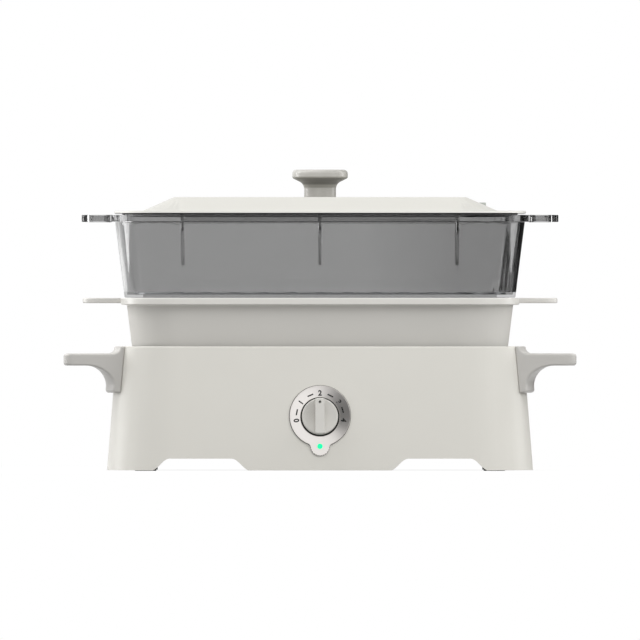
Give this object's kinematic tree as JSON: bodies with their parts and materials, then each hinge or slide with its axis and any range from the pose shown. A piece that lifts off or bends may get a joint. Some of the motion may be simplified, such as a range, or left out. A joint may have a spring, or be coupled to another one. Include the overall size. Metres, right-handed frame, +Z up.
{
  "type": "multicooker",
  "caption": "Rectangular electric multicooker: heating base with a rotary dial and side handles, lift-out pot, clear steamer with a perforated tray, lid with a round knob",
  "frame": {"origin": "the middle of the model's box at the table, under the well", "axes": "+X to the right when the dial is faced, +Y to the back, +Z up"},
  "size_m": [0.4352, 0.2664, 0.2559],
  "materials": {
    "shell_plastic": "satin moulded, warm off-white",
    "cover_plastic": "plain moulded",
    "screw_steel": "zinc plated",
    "foot_rubber": "matte",
    "liner_metal": "drawn sheet, satin",
    "plate_metal": "cast and faced, with turning lines",
    "heater_metal": "heat-darkened tube",
    "contact_brass": "bright",
    "spacer_steel": "plain turned",
    "probe_metal": "polished cap",
    "dark_plastic": "matte black",
    "spring_steel": "bright wire",
    "fuse_ceramic": "unglazed",
    "handle_plastic": "satin moulded, warm grey",
    "dial_metal": "brushed plate with a printed scale",
    "lamp_green": "clear green lens, lit",
    "lamp_clear": "clear lamp body",
    "board_green": "lacquered circuit board",
    "switch_plastic": "moulded switch body",
    "knob_plastic": "satin silver-grey coat",
    "pointer_ink": "printed grey mark",
    "inlet_plastic": "moulded black",
    "wire_sleeve": "woven sleeve, red",
    "pot_coat": "satin coat, warm light grey",
    "steamer_clear": "clear smoke-grey, glossy",
    "tray_metal": "satin sheet",
    "lid_plastic": "soft gloss, warm white",
    "seal_rubber": "dark silicone",
    "lid_knob_plastic": "satin gloss, warm grey",
    "vent_plastic": "grey-green insert"
  },
  "bodies": {
    "base": {"base_shell": "shell_plastic", "bottom_cover": "cover_plastic", "cover_screws": "screw_steel", "rubber_feet": "foot_rubber", "well_liner": "liner_metal", "heating_plate": "plate_metal", "heater_tube": "heater_metal", "heater_pins": "contact_brass", "plate_spacers": "spacer_steel", "plate_screws": "screw_steel", "probe_holder": "spacer_steel", "probe_spring": "spring_steel", "thermal_fuse": "fuse_ceramic", "fuse_clip": "spacer_steel", "left_handle": "handle_plastic", "right_handle": "handle_plastic", "handle_screws": "screw_steel", "dial_plate": "dial_metal", "lamp_lens": "lamp_green", "lamp": "lamp_clear", "lamp_board": "board_green", "switch_bracket": "spacer_steel", "thermostat": "switch_plastic", "switch_tabs": "contact_brass", "bush_nut": "screw_steel", "inlet_housing": "inlet_plastic", "inlet_pins": "contact_brass", "inlet_screws": "screw_steel", "wire_harness": "wire_sleeve"},
    "probe": {"probe_cap": "probe_metal", "probe_sensor": "dark_plastic"},
    "knob": {"knob_shaft": "spacer_steel", "control_knob": "knob_plastic", "knob_pointer": "pointer_ink"},
    "pot": {"pot": "pot_coat"},
    "steamer": {"steamer_box": "steamer_clear"},
    "tray": {"steam_tray": "tray_metal"},
    "lid": {"lid_panel": "lid_plastic", "lid_seal": "seal_rubber", "lid_knob": "lid_knob_plastic", "knob_washer": "seal_rubber", "lid_screw": "screw_steel", "steam_vent": "vent_plastic"}
  },
  "joints": [
    {"name": "knob_turn", "type": "hinge", "parent": "base", "child": "knob", "pos_m": [0, -0.11899, 0.0458], "axis": [0, -0.9968, 0.0802], "range_deg": [-98, 99]},
    {"name": "probe_press", "type": "slide", "parent": "base", "child": "probe", "axis": [0, 0, 1], "range_m": [-0.0025, 0], "stiffness_N_per_m": 400, "springref_m": 0.006, "deforming": ["probe_spring"]},
    {"name": "pot_lift", "type": "slide", "parent": "base", "child": "pot", "axis": [0, 0, 1], "range_m": [0, 0.11]},
    {"name": "steamer_lift", "type": "slide", "parent": "pot", "child": "steamer", "axis": [0, 0, 1], "range_m": [0, 0.1]},
    {"name": "tray_lift", "type": "slide", "parent": "steamer", "child": "tray", "axis": [0, 0, 1], "range_m": [0, 0.06]},
    {"name": "lid_lift", "type": "slide", "parent": "steamer", "child": "lid", "axis": [0, 0, 1], "range_m": [0, 0.1]}
  ]
}
